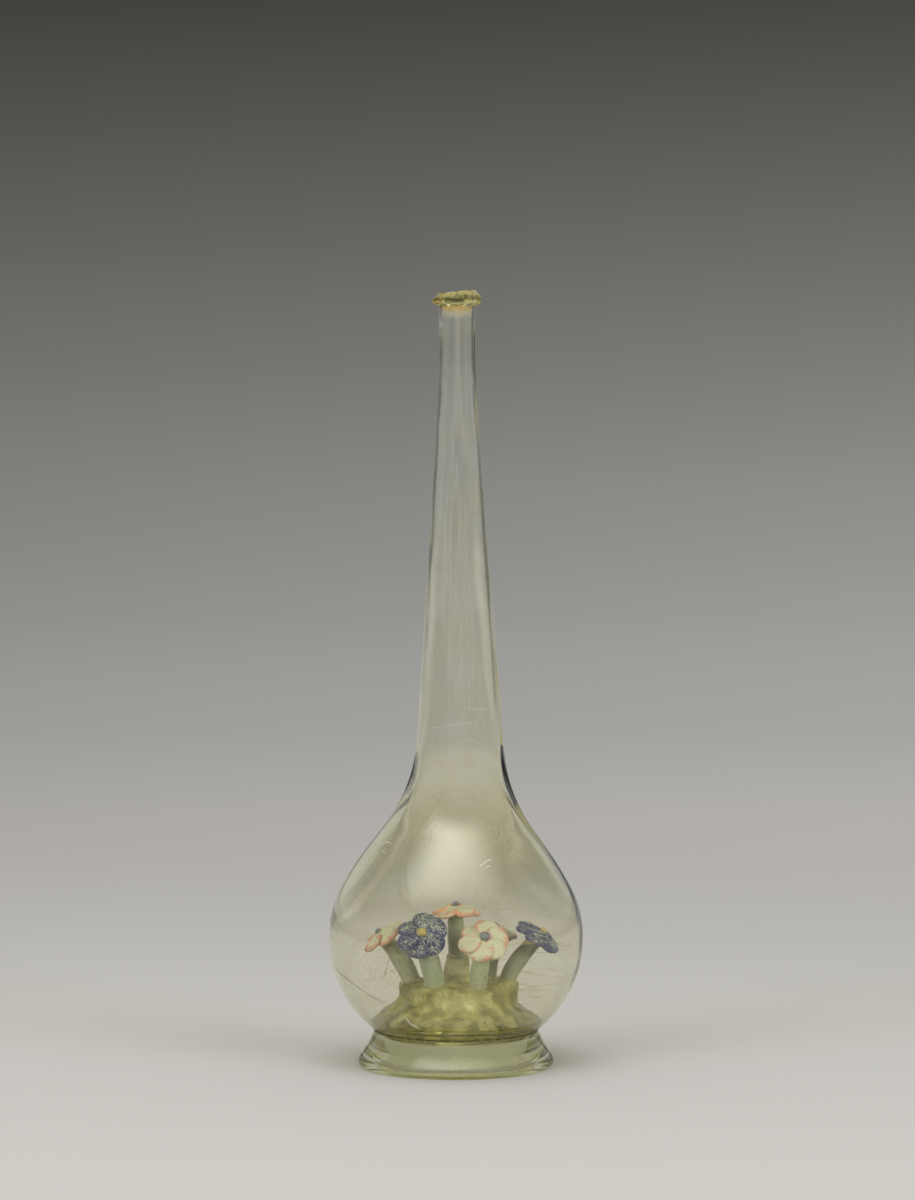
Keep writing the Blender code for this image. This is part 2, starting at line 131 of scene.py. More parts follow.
def hermite(z, low, high):
    span = high[0] - low[0]
    t = (z - low[0]) / span
    return ((2 * t**3 - 3 * t**2 + 1) * low[1] + (t**3 - 2 * t**2 + t) * span * low[2]
            + (3 * t**2 - 2 * t**3) * high[1] + (t**3 - t**2) * span * high[2])


def through(z, stations):
    for low, high in zip(stations, stations[1:]):
        if z <= high[0]:
            return hermite(max(z, low[0]), low, high)
    return stations[-1][1]


def outer_radius(z):
    if z <= ARC_END:
        low_axis = (BELLY_HEIGHT - JOINT_HEIGHT) / math.sqrt(1 - (JOINT_RADIUS / BELLY_RADIUS) ** 2)
        axis = low_axis if z <= BELLY_HEIGHT else ARC_AXIS
        return BELLY_RADIUS * math.sqrt(max(0.0, 1 - ((z - BELLY_HEIGHT) / axis) ** 2))
    rise = ARC_END - BELLY_HEIGHT
    end_radius = BELLY_RADIUS * math.sqrt(1 - (rise / ARC_AXIS) ** 2)
    taper = (TAPER_END[1] - NECK_ROOT[1]) / (TAPER_END[0] - NECK_ROOT[0])
    return through(z, (
        (ARC_END, end_radius, -BELLY_RADIUS**2 * rise / ARC_AXIS**2 / end_radius),
        SHOULDER,
        (*NECK_ROOT, taper),
        (*TAPER_END, taper),
        (*THROAT, 0.0),
        (LIP_BOTTOM, THROAT[1], 0.0),
    ))


def wall(z):
    return through(z, (
        (JOINT_HEIGHT, 0.0020, 0.0),
        (BELLY_HEIGHT, 0.0013, 0.0),
        (SHOULDER[0], 0.0036, 0.0),
        (NECK_ROOT[0], 0.0014, 0.0),
        (TAPER_END[0], 0.0010, 0.0),
    ))


def bow(z):
    return through(z, ((ARC_END, 0.0, 0.0), (NECK_ROOT[0], BOW, 0.0), (LIP_TOP, BOW_LEFT, 0.0)))


def smooth(low, high, value):
    t = min(1.0, max(0.0, (value - low) / (high - low)))
    return t * t * (3 - 2 * t)


def lip_reach(angle):
    sides = len(LIP_CORNERS)
    turn = 2 * math.pi / sides
    total = 0.0
    spread = degrees(-3, 4, 2)
    for shift in spread:
        at = (angle + shift) % (2 * math.pi)
        side = int(at / turn) % sides
        into = at - side * turn
        first = LIP_RADIUS * LIP_CORNERS[side]
        second = LIP_RADIUS * LIP_CORNERS[(side + 1) % sides]
        total += first * second * math.sin(turn) / (first * math.sin(into) + second * math.sin(turn - into))
    return total / len(spread)


def lin(start, end, count):
    return [start + (end - start) * i / count for i in range(count)]


def degrees(start, stop, step):
    return [math.radians(d) for d in range(start, stop, step)]


def circle(sides):
    return [2 * math.pi * j / sides for j in range(sides)]


def polar(radius, angle, z):
    return (radius * math.cos(angle), radius * math.sin(angle), z)


def bowed(radius, angle, z):
    """A point of the vessel's skin, whose axis isn't quite straight."""
    return (radius * math.cos(angle) + bow(z), radius * math.sin(angle), z)


def new_object(name, data, material=None):
    obj = bpy.data.objects.new(name, data)
    bpy.context.scene.collection.objects.link(obj)
    if material:
        data.materials.append(material)
    return obj


def baked(obj):
    """A mesh of the object with its modifiers applied."""
    depsgraph = bpy.context.evaluated_depsgraph_get()
    return bpy.data.meshes.new_from_object(obj.evaluated_get(depsgraph))


def finished(form, name):
    """A mesh of the form, which is freed."""
    mesh = bpy.data.meshes.new(name)
    form.to_mesh(mesh)
    form.free()
    return mesh


def ring_mesh(name, rings, closed_ends=(False, False)):
    """Mesh from rings of points; an end may close on a pole."""
    sides = len(rings[0])
    verts = [p for ring in rings for p in ring]
    faces = []
    for i in range(len(rings) - 1):
        a = i * sides
        b = a + sides
        faces += [(a + j, a + (j + 1) % sides, b + (j + 1) % sides, b + j) for j in range(sides)]
    for end, closed in enumerate(closed_ends):
        if not closed:
            continue
        ring = rings[-1] if end else rings[0]
        base = (len(rings) - 1) * sides if end else 0
        pole = len(verts)
        verts.append(tuple(np.mean(np.array(ring), axis=0)))
        for j in range(sides):
            k = (j + 1) % sides
            faces.append((base + j, base + k, pole) if end else (base + k, base + j, pole))
    mesh = bpy.data.meshes.new(name)
    mesh.from_pydata(verts, [], faces)
    form = bmesh.new()
    form.from_mesh(mesh)
    bmesh.ops.recalc_face_normals(form, faces=form.faces)
    form.to_mesh(mesh)
    form.free()
    return mesh


# Vessel: one skin from under the kick, out over the base plug, up to the lip and back down inside; the foot
# ring is a skin of its own

def outer_wave(angle, z):
    free = smooth(0.016, 0.030, z) * (1 - smooth(0.262, 0.272, z))
    bulb = math.sin(2 * angle + 0.7) * 0.00012 + math.sin(3 * angle + 2.1 + z * 40) * 0.00006
    streak = math.sin(7 * angle + 5 * math.sin(z * 11)) * 0.000022
    streak += math.sin(13 * angle + 1.9 + z * 6) * 0.000012
    return free * (bulb * (1 - 0.6 * smooth(0.09, 0.13, z)) + streak)


def inner_wave(angle, z):
    free = smooth(0.016, 0.030, z) * (1 - smooth(0.262, 0.272, z))
    thin = 1 - 0.55 * smooth(0.10, 0.16, z)
    broad = -math.cos(angle) * (0.00010 + 0.00014 * smooth(0.12, 0.16, z))
    broad += math.sin(2 * angle + 1.1 + z * 30) * 0.00008
    streak = math.sin(5 * angle + 0.4 + 3 * math.sin(z * 9)) * 0.00005
    streak += math.sin(9 * angle + 4.4 + z * 7) * 0.00003
    lump = noise.noise(Vector((math.cos(angle) * 1.7, math.sin(angle) * 1.7, z * 70))) * 0.00016
    return free * thin * (broad + streak + lump)


def outside_rings():
    """From the kick over the base plug and up the outside to the lip."""
    points = [(KICK_RADIUS * math.cos(a), BASE_HEIGHT + KICK_RISE * math.sin(a)) for a in degrees(88, 0, -8)]
    points += [(KICK_RADIUS, BASE_HEIGHT + 0.0003), (KICK_RADIUS + 0.0006, BASE_HEIGHT)]
    points += [(r, BASE_HEIGHT) for r in lin(0.0180, PLUG_RADIUS - EDGE_ROUND, 5)]
    for turn in degrees(0, 91, 18):
        radius = PLUG_RADIUS - EDGE_ROUND + EDGE_ROUND * math.sin(turn)
        points.append((radius, BASE_HEIGHT + EDGE_ROUND - EDGE_ROUND * math.cos(turn)))
    points += [(PLUG_RADIUS, 0.0128), (PLUG_RADIUS + 0.0002, 0.01318), (PLUG_RADIUS + 0.0005, JOINT_HEIGHT)]
    points += [(JOINT_RADIUS - 0.0004, JOINT_HEIGHT)]
    heights = lin(0.0134, 0.066, 50) + lin(0.066, 0.117, 44) + lin(0.117, 0.258, 44) + lin(0.258, 0.2725, 7)
    heights += [0.2728, 0.2734, 0.2738, 0.2741]
    points += [(outer_radius(z), z) for z in heights]
    angles = circle(SIDES)
    rings = []
    for r, z in points:
        wavy = z > JOINT_HEIGHT
        rings.append([bowed(r + (outer_wave(a, z) if wavy else 0.0), a, z) for a in angles])
    return rings, angles


def turned(points, sides):
    return [[polar(r, a, z) for a in circle(sides)] for r, z in points]


def loop_mesh(name, rings):
    """Closed skin of rings that come back to the first."""
    mesh = ring_mesh(name, rings + [rings[0]])
    form = bmesh.new()
    form.from_mesh(mesh)
    bmesh.ops.remove_doubles(form, verts=form.verts, dist=1e-7)
    bmesh.ops.recalc_face_normals(form, faces=form.faces)
    form.to_mesh(mesh)
    form.free()
    return mesh


def foot_mesh():
    """The flared ring, laid round the base plug."""
    points = [(FOOT_INNER, z) for z in lin(FOOT_HEIGHT, 0.0022, 8)]
    points += [(FOOT_INNER + 0.0001, 0.0015), (FOOT_INNER + 0.0005, 0.0006), (FOOT_INNER + 0.0012, 0.0001)]
    outer = JOINT_RADIUS + FOOT_SPREAD
    points += [(r, 0.0) for r in lin(FOOT_INNER + 0.0018, outer - EDGE_ROUND, 3)]
    for turn in degrees(0, 91, 15):
        points.append((outer - EDGE_ROUND + EDGE_ROUND * math.sin(turn), 0.0024 - 0.0024 * math.cos(turn)))
    for t in lin(1.0, 0.04, 14):
        hollow = FOOT_WAIST * math.sin(math.pi * t)
        height = FOOT_HEIGHT + (FOOT_SPREAD_HEIGHT - FOOT_HEIGHT) * t
        points.append((JOINT_RADIUS + FOOT_SPREAD * t - hollow, height))
    points += [(JOINT_RADIUS + 0.0001, 0.0129), (JOINT_RADIUS - 0.0002, FOOT_HEIGHT)]
    rings = []
    for k, ring in enumerate(turned(points, SIDES)):
        line = []
        for x, y, z in ring:
            a = math.atan2(y, x)
            uneven = z < 0.0115 and k > 12
            lump = 0.00012 * math.sin(2 * a + 1.0) + 0.00006 * math.sin(5 * a + 0.3) if uneven else 0.0
            line.append((x + lump * math.cos(a), y + lump * math.sin(a), z))
        rings.append(line)
    return loop_mesh("glass_foot", rings)


def lip_rings(angles):
    """Up round the faceted flange and in to the mouth."""
    reaches = [lip_reach(a) for a in angles]
    tops = [LIP_TOP - LIP_TOP_SLOPE * max(0.0, reach - RIM_RADIUS) for reach in reaches]
    low = LIP_BOTTOM + 0.0010
    rings = []
    for share, z in ((0.745, 0.27435), (0.77, 0.27455), (0.83, 0.2747), (0.91, 0.2749), (0.97, 0.2752)):
        rings.append([polar(r * share, a, z) for r, a in zip(reaches, angles)])
    for share, inset in ((0.0, 0.996), (0.12, 1.0), (0.35, 1.0), (0.65, 1.0), (0.88, 1.0), (0.97, 0.990)):
        rings.append([polar(r * inset, a, low + (top - low) * share)
                      for r, a, top in zip(reaches, angles, tops)])
    for share in (0.02, 0.10, 0.30, 0.55, 0.80, 0.97):
        ring = []
        for r, a in zip(reaches, angles):
            edge = max(r * 0.985, RIM_RADIUS + 0.0001)
            radius = edge + (RIM_RADIUS - edge) * share
            ring.append(polar(radius, a, LIP_TOP - LIP_TOP_SLOPE * max(0.0, radius - RIM_RADIUS)))
        rings.append(ring)
    mouth = ((0.0063, 0.27997), (0.0060, 0.2800), (0.00575, 0.27988), (0.00556, 0.2796), (0.0055, 0.2790))
    for radius, z in mouth:
        rings.append([polar(radius, a, z) for a in angles])
    tilted = []
    for ring in rings:
        line = []
        for x, y, z in ring:
            drop = LIP_TILT * max(0.0, 0.0045 - x) * smooth(LIP_BOTTOM, LIP_TOP, z)
            line.append((x + bow(z), y, z - drop))
        tilted.append(line)
    return tilted


def inner_radius(z):
    clear = outer_radius(z) - wall(z)
    return max(MOUTH_RADIUS, clear) if z > THROAT[0] else clear


def inside_rings(angles):
    heights = lin(0.2765, 0.258, 6) + lin(0.258, 0.117, 40)
    heights += lin(0.117, 0.066, 40) + lin(0.066, FLOOR_TURN, 42)
    points = [(inner_radius(z), z) for z in heights]
    start = outer_radius(FLOOR_TURN) - wall(FLOOR_TURN)
    for turn in degrees(0, 91, 15):
        radius = FLOOR_RADIUS + (start - FLOOR_RADIUS) * math.cos(turn)
        points.append((radius, FLOOR_TURN - (FLOOR_TURN - FLOOR_HEIGHT) * math.sin(turn)))
    inner_kick = KICK_RADIUS + 0.0020
    points += [(r, FLOOR_HEIGHT) for r in lin(FLOOR_RADIUS - 0.0012, inner_kick, 5)]
    points += [(inner_kick * math.cos(a), FLOOR_HEIGHT + KICK_RISE * math.sin(a)) for a in degrees(2, 90, 8)]
    return [[bowed(r + inner_wave(a, z), a, z) for a in angles] for r, z in points]


def vessel_mesh():
    rings, angles = outside_rings()
    rings += lip_rings(angles)
    rings += inside_rings(angles)
    return ring_mesh("vessel", rings, (True, True))


def film_mesh():
    """Dried residue on the inside of the glass, as one thin closed skin."""
    heights = lin(0.0180, 0.117, 90) + lin(0.117, 0.2750, 56) + [0.2750]
    rings = []
    for gap, run in ((0.00010, heights), (0.00016, heights[::-1])):
        for z in run:
            rings.append([bowed(inner_radius(z) + inner_wave(a, z) - gap, a, z) for a in circle(144)])
    return loop_mesh("residue_film", rings)


def recess_film_mesh():
    """Dust between the foot ring and the base it was laid round."""
    points = [(FOOT_INNER, z) for z in lin(0.0016, 0.0124, 10)]
    skin = [(r - 0.00014, z) for r, z in points] + [(r - 0.00020, z) for r, z in points[::-1]]
    return loop_mesh("foot_dust", turned(skin, 128))


def seam_mesh():
    """Dirt caught between the gather and the wall, all round."""
    heights = lin(0.0124, 0.0168, 10)
    inside = [(min(inner_radius(max(z, JOINT_HEIGHT)), PLUG_RADIUS) - 0.0004, z) for z in heights]
    return loop_mesh("seam_dust", turned(inside + [(r - 0.00008, z) for r, z in inside[::-1]], 128))


def joint_mesh():
    """Dirt and painted shade in the crease where the foot was laid on."""
    rings = []
    for turn in circle(240):
        wide = 0.00030 * (1 + 0.40 * noise.noise(Vector((math.cos(turn) * 9, math.sin(turn) * 9, 2))))
        middle = JOINT_RADIUS - 0.00016
        rings.append([polar(middle + wide * math.cos(a), turn, 0.01314 + 0.7 * wide * math.sin(a))
                      for a in circle(10)])
    return loop_mesh("joint_dirt", rings)


# Mound: a lumpy gather with a post for each stem, melted together

def root_point(flower):
    x, y, rise = flower.root
    return Vector((x, y, MOUND_TOP + rise))


def stem_start(flower):
    return (Vector(flower.head).normalized() + Vector((0, 0, 1))).normalized()


def mound_mesh():
    crown = [(0.0150 * math.sin(a), 0.0288 + 0.0012 * math.cos(a)) for a in degrees(4, 85, 13)]
    skirt = [(0.0168, 0.0288), (0.0180, 0.0277), (0.0184, 0.0266), (0.0187, 0.0255), (0.0195, 0.0243),
             (0.0205, 0.0232), (0.0214, 0.0222), (0.0232, 0.0210), (0.0252, 0.0198), (0.0274, 0.0186),
             (0.0294, 0.0175)]
    base = [(0.0312, 0.0163), (0.0300, 0.0150), (0.0285, 0.0135), (0.0262, 0.0120), (0.0255, 0.0110)]
    under = [(0.0175 * math.cos(a), 0.0110 + 0.0106 * math.sin(a)) for a in degrees(0, 89, 10)]
    rings = []
    for r, z in crown + skirt + base + under:
        ring = []
        lift = smooth(0.0165, 0.0200, z)
        for a in circle(96):
            lump = noise.noise(Vector((math.cos(a) * 2.2, math.sin(a) * 2.2, z * 160 + 4))) * 0.0020 * lift
            lump += noise.noise(Vector((math.cos(a) * 6.0, math.sin(a) * 6.0, z * 420 + 9))) * 0.0008 * lift
            heave = noise.noise(Vector((r * math.cos(a) * 170, r * math.sin(a) * 170, 8))) * 0.0011
            heave *= smooth(0.026, 0.029, z)
            ring.append(polar(r + lump, a, z + heave))
        rings.append(ring)
    form = bmesh.new()
    form.from_mesh(ring_mesh("gather", rings, (True, True)))
    for flower in FLOWERS:
        way = stem_start(flower)
        root = root_point(flower)
        top = flower.rod + 0.0012
        length = (flower.root[2] + 0.0050) / way.z
        turn = way.to_track_quat("Z", "Y").to_matrix().to_4x4()
        spot = Matrix.Translation(root - way * length / 2) @ turn
        bmesh.ops.create_cone(form, cap_ends=True, segments=32, depth=length,
                              radius1=top + 0.0016, radius2=top, matrix=spot)
    obj = new_object("gather_parts", finished(form, "gather_parts"))
    remesh = obj.modifiers.new("melt", "REMESH")
    remesh.mode = "VOXEL"
    remesh.voxel_size = MELT_VOXEL
    soften = obj.modifiers.new("soften", "SMOOTH")
    soften.factor = 0.5
    soften.iterations = 12
    melted = baked(obj)
    bpy.data.objects.remove(obj, do_unlink=True)
    for vertex in melted.vertices:
        spot = vertex.co
        lift = smooth(0.0150, 0.0190, spot.z)
        swirl = noise.noise_vector(spot * 170) * 0.00065 + noise.noise_vector(spot * 620) * 0.00009
        vertex.co = spot + swirl * lift
    return melted


def coat_mesh(melted):
    """The gather's own dull skin, a hair's breadth off the glass."""
    form = bmesh.new()
    form.from_mesh(melted)
    low = []
    for face in form.faces:
        middle = face.calc_center_median()
        if middle.z < (0.0173 if math.hypot(*middle.xy) > 0.026 else 0.0185):
            low.append(face)
    bmesh.ops.delete(form, geom=low, context="FACES")
    bmesh.ops.delete(form, geom=[v for v in form.verts if not v.link_faces], context="VERTS")
    form.normal_update()
    for vertex in form.verts:
        vertex.co += vertex.normal * 0.00014
    bmesh.ops.solidify(form, geom=form.faces[:], thickness=0.00005)
    mesh = finished(form, "gather_coat")
    mesh.shade_smooth()
    return mesh


def build_film(name, mesh, material):
    mesh.shade_smooth()
    film = new_object(name, mesh, material)
    film.visible_shadow = False
    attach(film, "root")
    return film


def build_vessel(material, gather_mesh):
    vessel = new_object("glass_vessel", vessel_mesh())
    gather = new_object("gather", gather_mesh)
    union = vessel.modifiers.new("fuse", "BOOLEAN")
    union.operation = "UNION"
    union.solver = "MANIFOLD"
    union.object = gather
    mesh = baked(vessel)
    bpy.data.objects.remove(vessel, do_unlink=True)
    bpy.data.objects.remove(gather, do_unlink=True)
    mesh.name = "glass_vessel"
    mesh.materials.clear()
    mesh.shade_smooth()
    mesh.set_sharp_from_angle(angle=SHARP_ANGLE)
    vessel = new_object("glass_vessel", mesh, material)
    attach(vessel, "root")
    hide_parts("bulb", "shoulder", "neck", "flower_mound")


def build_foot(material):
    mesh = foot_mesh()
    mesh.shade_smooth()
    mesh.set_sharp_from_angle(angle=SHARP_ANGLE)
    foot = new_object("glass_foot", mesh, material)
    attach(foot, "root")
    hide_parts("foot_ring")


# Materials

class Graph:
    """A node tree with short ways to add its nodes."""

    def __init__(self, tree):
        self.nodes = tree.nodes
        self.new = tree.nodes.new
        self.link = tree.links.new

    def feed(self, socket, value):
        if isinstance(value, bpy.types.NodeSocket):
            self.link(value, socket)
        elif isinstance(value, tuple):
            socket.default_value = (*value, 1.0)
        else:
            socket.default_value = value

    def position(self):
        return self.new("ShaderNodeNewGeometry").outputs["Position"]

    def axes(self, place):
        split = self.new("ShaderNodeSeparateXYZ")
        self.link(place, split.inputs[0])
        return split.outputs["X"], split.outputs["Y"], split.outputs["Z"]

    def stretch(self, place, scale):
        node = self.new("ShaderNodeVectorMath")
        node.operation = "MULTIPLY"
        node.inputs[1].default_value = scale
        self.link(place, node.inputs[0])
        return node.outputs[0]

    def noise(self, coordinates, scale, detail=3.0, roughness=0.5):
        node = self.new("ShaderNodeTexNoise")
        node.inputs["Scale"].default_value = scale
        node.inputs["Detail"].default_value = detail
        node.inputs["Roughness"].default_value = roughness
        self.link(coordinates, node.inputs["Vector"])
        return node.outputs["Fac"]

    def cells(self, coordinates, scale):
        node = self.new("ShaderNodeTexVoronoi")
        node.inputs["Scale"].default_value = scale
        self.link(coordinates, node.inputs["Vector"])
        return node

    def ramp(self, value, stops, interpolation="LINEAR"):
        node = self.new("ShaderNodeValToRGB")
        node.color_ramp.interpolation = interpolation
        elements = node.color_ramp.elements
        while len(elements) < len(stops):
            elements.new(0.5)
        for element, (place, colour) in zip(elements, stops):
            element.position = place
            element.color = (*colour, 1.0) if isinstance(colour, tuple) else (colour, colour, colour, 1.0)
        self.link(value, node.inputs["Fac"])
        return node.outputs["Color"]

    def mix(self, factor, first, second, blend="MIX"):
        node = self.new("ShaderNodeMix")
        node.data_type = "RGBA"
        node.blend_type = blend
        for index, value in ((0, factor), (6, first), (7, second)):
            self.feed(node.inputs[index], value)
        return node.outputs[2]

    def math(self, operation, first, second=0.0, clamp=False):
        node = self.new("ShaderNodeMath")
        node.operation = operation
        node.use_clamp = clamp
        self.feed(node.inputs[0], first)
        self.feed(node.inputs[1], second)
        return node.outputs[0]

    def times(self, first, second):
        return self.math("MULTIPLY", first, second)

    def plus(self, first, second, clamp=False):
        return self.math("ADD", first, second, clamp)

    def build_up(self, total, part, share, clamp=False):
        """The total with a share of one more part on it."""
        return self.plus(total, self.times(part, share), clamp)

    def span(self, value, low, high):
        """0 below low, 1 above high (or the other way round)."""
        node = self.new("ShaderNodeMapRange")
        node.interpolation_type = "SMOOTHSTEP"
        rises = low < high
        limits = (min(low, high), max(low, high), 0.0 if rises else 1.0, 1.0 if rises else 0.0)
        for index, number in enumerate(limits, 1):
            node.inputs[index].default_value = number
        self.link(value, node.inputs[0])
        return node.outputs[0]

    def window(self, value, rise, fall):
        """1 between two soft edges."""
        return self.times(self.span(value, *rise), self.span(value, *fall))

    def bump(self, shader, height, strength, distance):
        bump = self.new("ShaderNodeBump")
        bump.inputs["Strength"].default_value = strength
        bump.inputs["Distance"].default_value = distance
        self.link(height, bump.inputs["Height"])
        self.link(bump.outputs["Normal"], shader.inputs["Normal"])

    def paint(self, shader, colour, alpha=None):
        self.link(colour, shader.inputs["Base Color"])
        if alpha is not None:
            self.link(alpha, shader.inputs["Alpha"])

    def surface(self, shader):
        self.link(shader.outputs[0], self.nodes["Material Output"].inputs["Surface"])

    def blend(self, factor, first, second):
        node = self.new("ShaderNodeMixShader")
        self.link(factor, node.inputs[0])
        self.link(first.outputs[0], node.inputs[1])
        self.link(second.outputs[0], node.inputs[2])
        return node


def node_material(name, roughness):
    material = bpy.data.materials.new(name)
    material.use_nodes = True
    graph = Graph(material.node_tree)
    shader = graph.nodes["Principled BSDF"]
    shader.inputs["Roughness"].default_value = roughness
    return material, graph, shader


def glass_material(name, depth):
    """Clear glass with a faint green depth, an amber stain at the lip, a band of painted shade on the lip's
    front facet and a green edge under the foot.
    """
    material, graph, shader = node_material(name, 0.0)
    shader.inputs["Transmission Weight"].default_value = 1.0
    shader.inputs["IOR"].default_value = 1.50
    place = graph.position()
    x, y, z = graph.axes(place)
    patches = graph.noise(place, 60.0, 5.0, 0.6)
    tint = graph.mix(graph.span(patches, 0.42, 0.68), (0.995, 0.995, 0.975), (0.97, 0.96, 0.90))
    under = graph.mix(graph.span(z, 0.0015, 0.0004), tint, (0.66, 0.70, 0.14))
    wander = graph.noise(place, 900.0, 3.0, 0.6)
    lip = graph.span(z, 0.2730, 0.2744)
    low = graph.times(lip, graph.span(z, 0.2762, 0.2748))
    stain = graph.times(low, graph.span(wander, 0.40, 0.60))
    yellow = graph.mix(lip, under, (0.97, 0.93, 0.60))
    stained = graph.mix(graph.times(stain, 0.7), yellow, (0.92, 0.76, 0.30))
    tip = graph.times(lip, graph.span(x, -0.0045, -0.0078))
    amber = graph.mix(tip, stained, (0.66, 0.42, 0.10))
    # Painted shade: a dark green band painted across the front facet of the lip.
    front = graph.window(x, (-0.0048, -0.0036), (0.0036, 0.0028))
    front = graph.times(front, graph.span(y, -0.0045, -0.0060))
    front_painted_shade = graph.window(z, (0.2753, 0.2757), (0.2772, 0.2766))
    front_painted_shade = graph.times(graph.times(front, front_painted_shade), graph.span(wander, 0.28, 0.42))
    with_painted_shade = graph.mix(graph.times(front_painted_shade, 0.95), amber, (0.10, 0.12, 0.07))
    graph.paint(shader, with_painted_shade)
    graph.bump(shader, graph.noise(place, 110.0, 2.0), 0.05, 0.0004)
    absorb = graph.new("ShaderNodeVolumeAbsorption")
    absorb.inputs["Color"].default_value = (0.72, 0.69, 0.05, 1.0)
    absorb.inputs["Density"].default_value = depth
    graph.link(absorb.outputs[0], graph.nodes["Material Output"].inputs["Volume"])
    light = graph.new("ShaderNodeBsdfTransparent")
    light.inputs["Color"].default_value = (0.94, 0.94, 0.92, 1.0)
    path = graph.new("ShaderNodeLightPath")
    graph.surface(graph.blend(path.outputs["Is Shadow Ray"], shader, light))
    return material


def residue_material():
    """Thin film inside: cloudy in the bulb, streaked in the neck, a brown band under the lip."""
    material, graph, shader = node_material("dried_residue", 0.65)
    shader.inputs["Specular IOR Level"].default_value = 0.2
    place = graph.position()
    x, y, z = graph.axes(place)
    bulb = graph.span(z, 0.125, 0.085)
    cloud = graph.span(graph.noise(place, 42.0, 7.0, 0.65), 0.42, 0.72)
    fine = graph.span(graph.noise(place, 900.0, 4.0, 0.7), 0.35, 0.75)
    level = graph.stretch(place, (26.0, 26.0, 520.0))
    tide = graph.span(graph.noise(level, 1.0, 4.0, 0.6), 0.56, 0.70)
    side = graph.times(graph.span(x, -0.012, 0.020), graph.span(z, 0.060, 0.048))
    tide = graph.times(tide, side)
    upright = graph.stretch(place, (620.0, 620.0, 5.0))
    streak = graph.span(graph.noise(upright, 1.0, 3.0, 0.5), 0.40, 0.62)
    thick = graph.times(graph.times(cloud, fine), 0.14)
    thick = graph.build_up(thick, tide, 0.20)
    rough = graph.span(graph.noise(place, 1500.0, 3.0, 0.7), 0.52, 0.66)
    left = graph.times(graph.span(x, -0.010, -0.018), graph.span(y, 0.0, -0.010))
    left = graph.times(left, graph.window(z, (0.030, 0.036), (0.056, 0.044)))
    left = graph.times(left, graph.span(graph.noise(place, 150.0, 3.0), 0.40, 0.60))
    thick = graph.build_up(thick, graph.times(rough, left), 0.30)
    thick = graph.plus(thick, 0.012)
    thick = graph.times(thick, bulb)
    clean = graph.times(graph.span(z, 0.30, 0.13), 0.012)
    thick = graph.plus(graph.plus(thick, clean), 0.002)
    thick = graph.build_up(thick, graph.times(streak, graph.span(z, 0.095, 0.135)), 0.042)
    ragged = graph.build_up(z, graph.noise(place, 420.0, 4.0), 0.006)
    band = graph.span(ragged, 0.2728, 0.2768)
    thick = graph.build_up(thick, band, 0.34)
    specks = graph.cells(place, 520.0)
    dot = graph.times(graph.span(specks.outputs["Distance"], 0.21, 0.12), graph.span(cloud, 0.3, 0.9))
    thick = graph.build_up(thick, graph.times(dot, bulb), 0.60, clamp=True)
    pale = graph.mix(bulb, (0.80, 0.81, 0.74), (0.88, 0.79, 0.48))
    dusty = graph.mix(graph.times(tide, 0.8), pale, (0.62, 0.56, 0.28))
    dotted = graph.mix(dot, dusty, (0.30, 0.27, 0.12))
    brown = graph.mix(band, dotted, (0.62, 0.47, 0.20))
    graph.paint(shader, brown, thick)
    graph.bump(shader, fine, 0.2, 0.0002)
    return material


def coat_material():
    """Dull olive weathering over the gather."""
    material, graph, shader = node_material("olive_weathering", 0.14)
    place = graph.position()
    x, _, z = graph.axes(place)
    cloud = graph.noise(place, 190.0, 5.0, 0.55)
    fine = graph.noise(place, 1100.0, 3.0, 0.6)
    tall = graph.span(z, 0.0190, 0.0250)
    thick = graph.plus(graph.times(graph.span(cloud, 0.38, 0.64), 0.30), 0.06)
    thick = graph.build_up(thick, tall, 0.14)
    thick = graph.build_up(thick, graph.span(fine, 0.62, 0.72), 0.14)
    colour = graph.ramp(cloud, [
        (0.38, (0.27, 0.26, 0.05)),
        (0.50, (0.42, 0.40, 0.10)),
        (0.62, (0.62, 0.60, 0.24)),
    ])
    wavy = graph.build_up(z, graph.noise(place, 110.0, 2.0), 0.0034)
    pool = graph.window(wavy, (0.0220, 0.0250), (0.0305, 0.0268))
    pool = graph.times(pool, graph.window(x, (-0.0110, -0.0020), (0.0150, 0.0060)))
    colour = graph.mix(graph.times(pool, 0.55), colour, (0.74, 0.72, 0.40))
    skirt = graph.span(z, 0.0215, 0.0195)
    colour = graph.mix(graph.times(skirt, 0.35), colour, (0.66, 0.64, 0.34))
    thick = graph.build_up(thick, pool, 0.30, clamp=True)
    spotted = graph.mix(graph.span(fine, 0.64, 0.72), colour, (0.16, 0.14, 0.05))
    graph.paint(shader, spotted, thick)
    graph.bump(shader, cloud, 0.3, 0.0004)
    return material


